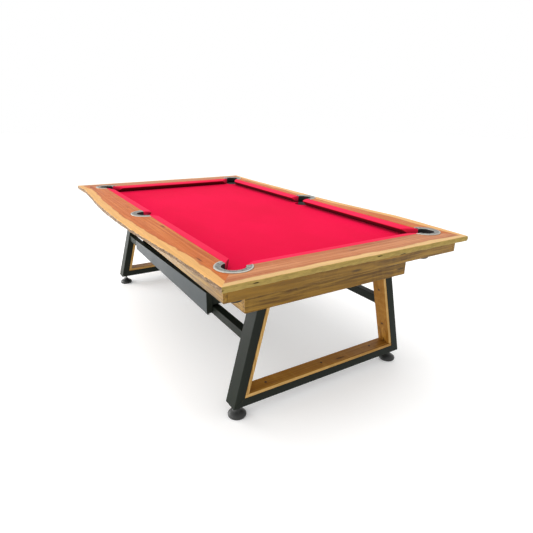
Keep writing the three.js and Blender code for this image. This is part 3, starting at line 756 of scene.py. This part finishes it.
def cushion(node, ends, place):
    """The section is carried along the cushion; at each end it slants back to the pocket and draws in a
    little where the cloth is folded over the facing. Each end says where the nose and the back stop."""
    d, z = cushion_section().T
    share = d / CUSHION_W
    first, last = (back + (nose - back) * share for nose, back in ends)
    run = abs(last.mean() - first.mean())
    steps = np.concatenate([[0, 0.0006, 0.0018, 0.004, 0.008, 0.016], np.linspace(0.03, 0.5, 40)])
    rows = []
    for t in np.concatenate([steps, 1 - steps[-2::-1]]):
        ease = 0.0028 * (1 - min(1.0, min(t, 1 - t) * run / 0.0055)) ** 2
        drawn_in = np.clip(d, 0.0006, CUSHION_W - 0.0006 - ease * (share > 0.35))
        drawn_flat = z + (z.mean() - z) * ease * 12 * share
        rows.append(place(first * (1 - t) + last * t, drawn_in, drawn_flat))
    # Painted shade under the nose: 0 down to just below the nose's front, rising to 1 four millimetres lower.
    undercut_painted_shade = np.clip((z[np.argmax(d)] - 0.001 - z) / 0.003, 0, 1)
    made = put(f"cloth_covered_{node}", (np.stack(rows), swept_faces(len(rows), len(d))),
               ("cushion_rubber", CUSHION_CLOTH), (node,), sharp=50,
               attributes={"under": np.tile(undercut_painted_shade, len(rows))})


def beside(sign):
    """Along a long slab: lie is the place along it, d the distance in from it."""
    return lambda lie, d, z: np.stack([lie + MID_X, MID_Y + sign * (JOIN_Y - d), z], -1)


def across(sign):
    """Along an end slab."""
    return lambda lie, d, z: np.stack([MID_X + sign * (JOIN_X - d), lie + MID_Y, z], -1)


def mirrored(end):
    return tuple(-v for v in end)


MOUTH_RUN = 0.118 / np.sqrt(2)
FACING_GAIN = CUSHION_W / np.tan(np.radians(38))
LONG_END = (PLAY_X - MOUTH_RUN, PLAY_X - MOUTH_RUN + FACING_GAIN)
SHORT_END = (PLAY_Y - MOUTH_RUN, PLAY_Y - MOUTH_RUN + FACING_GAIN)
MIDDLE_END = (0.072, SIDE_R + GAP)
for end, sy in ENDS:
    cushion(f"cushion_{end}_left", (mirrored(LONG_END), mirrored(MIDDLE_END)), beside(sy))
    cushion(f"cushion_{end}_right", (MIDDLE_END, LONG_END), beside(sy))
for side, sx in SIDES:
    cushion(f"cushion_{side}", (mirrored(SHORT_END), SHORT_END), across(sx))


# ---- pocket castings and cups ----
# Dished top of a casting: share of the rim's width, drop below its highest line, wear.
DISH = ((0.80, 0.0002, 0.5), (0.62, 0.0009, 0.2), (0.45, 0.0012, 0), (0.30, 0.0008, 0), (0.18, 0.0001, 0.1))
OUTER_ROUND, INNER_ROUND = 0.0030, 0.0045


def casting(name, sx, sy):
    """A horseshoe: the section is carried round the pocket from one slab line to the other, so each radius
    starts and stops where it meets those lines; the tips are eased down."""
    (cx, cy), r, rim = pocket_place(sx, sy)
    top, low, under = RAIL_TOP + 0.0035, 0.806, RAIL_TOP - 0.0035
    turn = np.linspace(0, np.pi / 2, 5)
    x, z = r + rim - OUTER_ROUND, top - OUTER_ROUND
    outer = np.stack([x + OUTER_ROUND * np.cos(turn), z + OUTER_ROUND * np.sin(turn)], -1)
    x, z = r + INNER_ROUND, top - INNER_ROUND
    inner = np.stack([x - INNER_ROUND * np.sin(turn[1:]), z + INNER_ROUND * np.cos(turn[1:])], -1)
    dish = [[r + rim * share, top - dip] for share, dip, _ in DISH]
    wall = [[r, top - 0.012], [r + 0.0006, top - 0.024], [r + 0.0014, low + 0.002], [r + 0.003, low]]
    outside = [[r + 0.0075, low], [r + 0.0078, under - 0.001], [r + rim - 0.001, under]]
    pr, pz = np.concatenate([outside, outer, dish, inner, wall]).T
    n, m = 84, len(pr)
    t = np.linspace(0, 1, n)[:, None]
    lead = np.arcsin((POCKET_INSET + GAP) / pr)
    start, stop = (0 * pr, 0 * pr + np.pi) if sx == 0 else (np.pi - lead, lead - np.pi / 2)
    angle = start + (stop - start) * t
    near_tip = np.minimum(t, 1 - t) * pr.mean() * 3.4
    ease = 0.0022 * (1 - np.clip(near_tip / 0.006, 0, 1)) ** 2
    x, y = (sx or 1) * pr * np.cos(angle), sy * pr * np.sin(angle)
    z = np.where(pz > under, pz - ease, pz + 0 * t)
    worn = np.concatenate([[0] * len(outside), [0.8] * len(outer), [wear for *_, wear in DISH],
                           [0.5] * (len(inner) - 1), [0] * (len(wall) + 1)])
    throat = len(outside) + len(outer) + len(dish) + len(inner) - 1
    lined = [int(throat <= f % m < m - 1) for f in range((n - 1) * m)] + [0, 0]
    put(f"pocket_casting_{name}", (np.stack([x + cx + MID_X, y + cy + MID_Y, z], -1), swept_faces(n, m)),
        ("pewter", PEWTER, POCKET_BLACK), (f"casting_{name}",), sharp=50, face_materials=lined,
        attributes={"worn": np.tile(worn, n)})


def cup(name, sx, sy):
    """A moulded bucket: straight collar with a bead, tapered wall with upright ribs, flat floor."""
    (cx, cy), r, _ = pocket_place(sx, sy)
    top, low = 0.7777, 0.6967
    foot = r * 0.74
    profile = [[0, low], [foot - 0.012, low], [foot - 0.004, low + 0.001], [foot, low + 0.006],
               [foot + 0.004, low + 0.020], [r + 0.0020, top - 0.020], [r + 0.0052, top - 0.013],
               [r + 0.0058, top - 0.008], [r + 0.0058, top - 0.001], [r + 0.005, top], [r + 0.003, top],
               [r + 0.002, top - 0.001], [r + 0.001, top - 0.012], [r - 0.003, top - 0.022],
               [foot, low + 0.020], [foot - 0.006, low + 0.008], [foot - 0.014, low + 0.005],
               [0, low + 0.0045]]
    points, faces = turned(profile, 96)
    a = np.arctan2(points[:, 1], points[:, 0])
    out = np.hypot(points[:, 0], points[:, 1])
    taper = foot + (points[:, 2] - low) * (r - foot) / (top - low) - 0.0012
    wall = (out > foot * 0.95) & (points[:, 2] < top - 0.016) & (out > taper)
    rib = 0.0010 * np.maximum(0, np.cos(a * 16)) ** 3 * wall
    points[:, 0] += rib * np.cos(a)
    points[:, 1] += rib * np.sin(a)
    put(f"pocket_cup_{name}", (points + here(cx, cy, 0), faces), ("black_plastic", POCKET_BLACK),
        (f"cup_{name}",), sharp=40)


for name, sx, sy in POCKETS:
    casting(name, sx, sy)
    cup(name, sx, sy)


# ---- boards ----
def board(name, node, grain, wood, seed, ease=0.0016):
    """A planed board with eased edges, in the place of its CAD node."""
    points = box_points(*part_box(node))
    put(name, (points, BOX_FACES), ("apron_wood", wood), (node,), bevel=(ease, 3),
        attributes={"grain": grain_of(points, grain, seed)})


for k, (end, _) in enumerate(ENDS):
    board(f"apron_board_{end}", f"apron_{end}", (1, 0, 0), APRON_WOOD, 1.3 + k)
    board(f"box_board_{end}", f"box_{end}", (1, 0, 0), BOX_WOOD, 5.1 + k)
for k, (side, _) in enumerate(SIDES):
    board(f"apron_board_{side}", f"apron_{side}", (0, 1, 0), APRON_WOOD, 3.7 + k)
    board(f"box_board_{side}", f"box_{side}", (0, 1, 0), BOX_WOOD, 8.3 + k)
    board(f"cross_bearer_{side}", f"cross_member_{side}", (0, 1, 0), BOX_WOOD, 11.9 + k, 0.003)


# ---- leg frames ----
LEG_BOTTOM, LEG_HALF, LEG_T, LEG_LEAN = 0.071, 0.582, 0.050, 0.2562
FRAME_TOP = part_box("leg_frame_left")[1].z
FRAME_FLOOR = LEG_BOTTOM + LEG_T - 0.003
LINER_FLOOR, LINER_TOP, LINER_T = FRAME_FLOOR + GAP, 0.700, 0.019


def leg_half(z):
    return LEG_HALF - (z - LEG_BOTTOM) * LEG_LEAN


def inside_half(z):
    return leg_half(z) - LEG_T * np.hypot(1, LEG_LEAN)


def liner_half(z):
    return inside_half(z) - GAP


def trapezium(half, z0, z1):
    """Corners, as (across, height), of an outline whose half width depends on the height."""
    return [(-half(z0), z0), (half(z0), z0), (half(z1), z1), (-half(z1), z1)]


def leg_frame(side):
    """Rectangular tube mitred into a trapezium: outer and inner outline at each face, joined corner to
    corner. A ground weld bead runs across each corner on both faces."""
    low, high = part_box(f"leg_frame_{side}")
    outer = trapezium(leg_half, LEG_BOTTOM, FRAME_TOP)
    inner = trapezium(inside_half, FRAME_FLOOR, FRAME_TOP - LEG_T)
    points = [(x, y + MID_Y, z) for x in (low.x, high.x) for ring in (outer, inner) for y, z in ring]
    faces = []
    for i, j in ((0, 1), (1, 2), (2, 3), (3, 0)):
        faces += [(i, j, 4 + j, 4 + i), (8 + j, 8 + i, 12 + i, 12 + j)]
        faces += [(j, i, 8 + i, 8 + j), (4 + i, 4 + j, 12 + j, 12 + i)]
    put(f"steel_leg_frame_{side}", (points, faces), PAINTED, (f"leg_frame_{side}",), bevel=(0.0035, 4))
    beads = []
    t = np.linspace(0.05, 0.95, 60)[:, None]
    for x, out in ((low.x, -1), (high.x, 1)):
        for (y0, z0), (y1, z1) in zip(outer, inner):
            path = np.array([x, y0 + MID_Y, z0]) * (1 - t) + np.array([x, y1 + MID_Y, z1]) * t
            path[:, 0] += out * (0.0002 + 0.0003 * np.sin(np.arange(60) * 2.1))
            beads.append(tube(path, 0.0011))
    put(f"leg_corner_welds_{side}", together(beads), PAINTED)


def liner(side, which, seed):
    """Timber board lining one member of the frame, with eased edges; its two outer faces are paler."""
    low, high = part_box(f"leg_frame_{side}")
    if which == "low":
        outline = trapezium(liner_half, LINER_FLOOR, LINER_FLOOR + LINER_T)
        grain = (0, 1, 0)
    else:
        sy = dict(ENDS)[which]
        z0, z1 = LINER_FLOOR + LINER_T + GAP, LINER_TOP
        outline = [(sy * liner_half(z0), z0), (sy * liner_half(z1), z1),
                   (sy * (liner_half(z1) - LINER_T), z1), (sy * (liner_half(z0) - LINER_T), z0)]
        grain = (0, -sy * LEG_LEAN, 1)
    corners = [(low.x + 0.0002, y + MID_Y, z) for y, z in outline]
    points, faces = prism(corners, (high.x - low.x - 0.0004, 0, 0))
    put(f"timber_liner_{side}_{which}", (points, faces), ("liner_wood", LINER_WOOD, LINER_EDGE),
        (f"liner_{side}_{which}",), bevel=(0.0018, 3), face_materials=[1, 1, 0, 0, 0, 0],
        attributes={"grain": grain_of(points, grain, seed)})


def set_on(part, place, normal):
    """A turned part stood on a face: its upright axis is laid along the face's normal."""
    points, faces = part
    normal = np.asarray(normal, float) / np.linalg.norm(normal)
    side = np.cross((0, 1, 0) if abs(normal[1]) < 0.9 else (1, 0, 0), normal)
    side /= np.linalg.norm(side)
    other = np.cross(normal, side)
    return points @ np.stack([side, other, normal]) + place, faces


def liner_screws(side):
    """Pan heads with a low dome, a flat rim and a round socket: three on the floor board, two on a side."""
    low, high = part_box(f"leg_frame_{side}")
    x, r = (low.x + high.x) / 2, 0.0068
    head = turned([[0, -0.0014], [r, -0.0006], [r, 0.0004], [r * 0.86, 0.0015], [r * 0.62, 0.0020],
                   [r * 0.48, 0.0016], [r * 0.42, -0.0010], [0, -0.0010]], 20)
    heads = [set_on(head, (x, y + MID_Y, LINER_FLOOR + LINER_T), (0, 0, 1)) for y in (-0.37, 0.0, 0.37)]
    heads += [set_on(head, (x, sy * (liner_half(z) - LINER_T) + MID_Y, z), (0, -sy, -LEG_LEAN))
              for sy in (-1, 1) for z in (0.265, 0.500)]
    put(f"liner_screws_{side}", together(heads), ("black_plastic", SCREW_BLACK), sharp=40)


for k, (side, _) in enumerate(SIDES):
    leg_frame(side)
    for n, which in enumerate(("low", "front", "back")):
        liner(side, which, 14.3 + 3 * k + 1.7 * n)
    liner_screws(side)


# ---- beams between the leg frames ----
def beam(end):
    """Square tube with rounded corners, and a weld bead round each end where it meets a leg."""
    low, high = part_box(f"beam_{end}")
    put(f"square_tube_beam_{end}", (box_points(low, high), BOX_FACES), PAINTED, (f"beam_{end}",),
        bevel=(0.004, 4))
    beads = []
    t = np.linspace(0, 1, 24, endpoint=False)[:, None]
    for x in (low.x + 0.0012, high.x - 0.0012):
        corners = [(x, low.y, low.z), (x, high.y, low.z), (x, high.y, high.z), (x, low.y, high.z)]
        sides = zip(np.array(corners), np.roll(corners, -1, 0))
        beads.append(tube(np.concatenate([a * (1 - t) + b * t for a, b in sides]), 0.0026, closed=True))
    put(f"beam_welds_{end}", together(beads), PAINTED)


for end, _ in ENDS:
    beam(end)


# ---- levelling feet ----
def hexagon(r, z0, z1, hole):
    """A nut: six flats with chamfered corners round a plain hole."""
    a = np.arange(6) * np.pi / 3 + np.pi / 6
    rows = [(hole, z0), (r * 0.94, z0), (r, z0 + 0.0015), (r, z1 - 0.0015), (r * 0.94, z1), (hole, z1)]
    points = np.array([(np.cos(b) * out, np.sin(b) * out, z) for out, z in rows for b in a])
    return points, grid_faces(6, 6, close_rows=True, close_cols=True)


def levelling_foot(side, end):
    """A moulded glide on a threaded stem, and the lock nut that holds the stem under the frame."""
    body = f"levelling_foot_{side}_{end}"
    low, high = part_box(f"foot_{side}_{end}")
    centre = np.array([(low.x + high.x) / 2, (low.y + high.y) / 2, 0])
    r = (high.x - low.x) / 2
    glide = [[0, 0.0], [r - 0.008, 0.0], [r - 0.003, 0.0008], [r - 0.0006, 0.004], [r, 0.007], [r, 0.0125],
             [r - 0.0012, 0.0150], [r - 0.004, 0.0172], [r - 0.0046, 0.0182], [r - 0.008, 0.0215],
             [r - 0.014, 0.0262], [r - 0.021, 0.0303], [r - 0.027, 0.0340], [0.0185, 0.0375],
             [0.0170, 0.0400], [0.0166, 0.0430], [0.0155, 0.0440], [0, 0.0440]]
    z = np.linspace(0.0443, 0.0980, 160)
    thread = np.column_stack([0.0084 + 0.0006 * np.cos(2 * np.pi * z / 0.0025), z])
    stem = np.concatenate([[[0, z[0]]], thread, [[0, z[-1]]]])
    points, faces = turned(glide, 72)
    put(f"glide_{side}_{end}", (points + centre, faces), ("black_plastic", BLACK), (f"foot_{side}_{end}",),
        body, sharp=45)
    points, faces = turned(stem, 28)
    put(f"threaded_stem_{side}_{end}", (points + centre, faces), PLATED, (f"stem_{side}_{end}",), body,
        sharp=60)
    points, faces = hexagon(0.0165, 0.0585, 0.0706, 0.0093)
    put(f"lock_nut_{side}_{end}", (points + centre, faces), PLATED, bevel=(0.0006, 2))


for side, _ in SIDES:
    for end, _ in ENDS:
        levelling_foot(side, end)


# ---- cue drawer ----
# Heights of the front panel's lower and upper edge, at its left and right end.
PANEL_LOW, PANEL_HIGH = (0.412, 0.404), (0.486, 0.529)


def drawer_front():
    """Sheet steel folded back on all four edges: outer face and returns, then again one thickness in."""
    low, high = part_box("drawer_front")
    wall, lip = 0.0018, 0.012
    slope_low, slope_high = ((b - a) / (high.x - low.x) for a, b in (PANEL_LOW, PANEL_HIGH))

    def ring(y, inset):
        a, b = low.x + inset, high.x - inset
        return [(a, y, PANEL_LOW[0] + slope_low * inset + inset),
                (b, y, PANEL_LOW[1] - slope_low * inset + inset),
                (b, y, PANEL_HIGH[1] - slope_high * inset - inset),
                (a, y, PANEL_HIGH[0] + slope_high * inset - inset)]

    rows = [ring(low.y, 0), ring(high.y, 0), ring(high.y, lip), ring(high.y - wall, lip),
            ring(high.y - wall, wall), ring(low.y + wall, wall)]
    faces = grid_faces(6, 4, close_cols=True) + [(0, 1, 2, 3), (23, 22, 21, 20)]
    put("drawer_front_pan", (rows, faces), ("drawer_paint", STEEL, DRAWER_PAINT), ("drawer_front",), "drawer",
        bevel=(0.0014, 3), face_materials=[0] * 20 + [1, 0])


def drawer_tray():
    """Thin box with a rolled rim, and a felt mat laid in it."""
    low, high = (np.array(v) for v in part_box("drawer_tray"))
    wall, margin = 0.0025, 0.004

    def ring(inset, z):
        a, b = low + inset, high - inset
        return [(a[0], a[1], z), (b[0], a[1], z), (b[0], b[1], z), (a[0], b[1], z)]

    rows = [ring(0, low[2]), ring(0, high[2]), ring(wall, high[2]), ring(wall, low[2] + wall)]
    faces = grid_faces(4, 4, close_cols=True) + [(0, 1, 2, 3), (15, 14, 13, 12)]
    put("drawer_tray_shell", (rows, faces), PAINTED, ("drawer_tray",), "drawer", bevel=(0.0009, 2))
    mat_low = low + (margin, margin, 0.0027)
    mat_high = (high[0] - margin, high[1] - margin, low[2] + 0.0052)
    put("drawer_felt_mat", (box_points(mat_low, mat_high), BOX_FACES), ("black_plastic", FELT), (), "drawer",
        bevel=(0.0008, 2))


def finger_pull():
    """Small folded tab under the panel's near end, to draw it out by."""
    low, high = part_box("drawer_front")
    y0, y1, z = low.y + 0.006, low.y + 0.022, low.z - 0.0002
    fold = [(y0, z), (y0, z - 0.010), (y0 + 0.002, z - 0.012), (y1 - 0.002, z - 0.012), (y1, z - 0.010),
            (y1, z - 0.007), (y1 - 0.0015, z - 0.007), (y1 - 0.003, z - 0.0103), (y0 + 0.003, z - 0.0103),
            (y0 + 0.0018, z - 0.009), (y0 + 0.0018, z)]
    shape = prism([(high.x - 0.040, y, h) for y, h in fold], (0.030, 0, 0))
    put("drawer_finger_pull", shape, PLATED, (), "drawer", bevel=(0.0004, 2))


drawer_front()
drawer_tray()
finger_pull()

# ---- CAD nodes that are seen as they are ----
BARE = {"slate_left": SLATE, "slate_middle": SLATE, "slate_right": SLATE, "drawer_slide_left": ZINC,
        "drawer_slide_right": ZINC, "drawer_hanger_left": STEEL, "drawer_hanger_right": STEEL}
for node, material in BARE.items():
    NODES[node].data.materials.clear()
    NODES[node].data.materials.append(material)


# ---- floor, lights and camera ----
def floor():
    finish = Finish("pale_floor", Roughness=0.85, Emission_Color=(1.0, 1.0, 1.0), Emission_Strength=0.16)
    cloud = finish.noise(finish.place(), 0.4, 3.0)
    finish.set("Base_Color", finish.blend(cloud, (0.93, 0.93, 0.93), (0.96, 0.96, 0.96)))
    mesh = bpy.data.meshes.new("floor")
    half, level = 30, -0.0005
    corners = [(-half, -half, level), (half, -half, level), (half, half, level), (-half, half, level)]
    mesh.from_pydata(corners, [], [(0, 1, 2, 3)])
    mesh.materials.append(finish.material)
    linked("floor", mesh)


def area_light(name, place, aim, size, power, colour=(1, 1, 1)):
    data = bpy.data.lights.new(name, "AREA")
    data.shape = "RECTANGLE"
    data.size, data.size_y = size
    data.energy = power
    data.color = colour
    made = linked(name, data)
    made.location = place
    made.rotation_euler = (Vector(aim) - Vector(place)).to_track_quat("-Z", "Y").to_euler()


def camera():
    """A camera placed from the middle of the play area, turned by yaw, pitch and roll in radians."""
    yaw, pitch, roll = 2.581, -0.3407, 0.0163
    ahead = np.array([np.cos(pitch) * np.cos(yaw), np.cos(pitch) * np.sin(yaw), np.sin(pitch)])
    level = np.array([np.sin(yaw), -np.cos(yaw), 0.0])
    upright = np.cross(level, ahead)
    right = level * np.cos(roll) + upright * np.sin(roll)
    up = -level * np.sin(roll) + upright * np.cos(roll)
    data = bpy.data.cameras.new("viewpoint")
    data.sensor_width = 36.0
    data.lens = 29.02
    made = linked("viewpoint", data)
    turn = Matrix(np.stack([right, up, -ahead], 1).tolist()).to_4x4()
    made.matrix_world = Matrix.Translation(here(2.6806, -1.3924, 1.4564).tolist()) @ turn
    bpy.context.scene.camera = made


world = bpy.data.worlds.new("studio")
world.use_nodes = True
world.node_tree.nodes["Background"].inputs[0].default_value = (1.0, 1.0, 1.0, 1.0)
world.node_tree.nodes["Background"].inputs[1].default_value = 1.0
bpy.context.scene.world = world
bpy.context.scene.view_settings.view_transform = "Standard"
floor()
area_light("window_from_the_drawer_side", (0.2, -4.2, 1.3), (0.1, 0.0, 0.6), (3.4, 1.6), 75,
           (1.0, 0.985, 0.97))
area_light("window_past_the_far_end", (-2.6, -2.5, 0.75), (0.7, -0.4, 0.7), (1.8, 1.3), 75)
area_light("soft_top", (0.0, 0.3, 3.4), (0, 0, 0), (3.6, 2.6), 40)
camera()
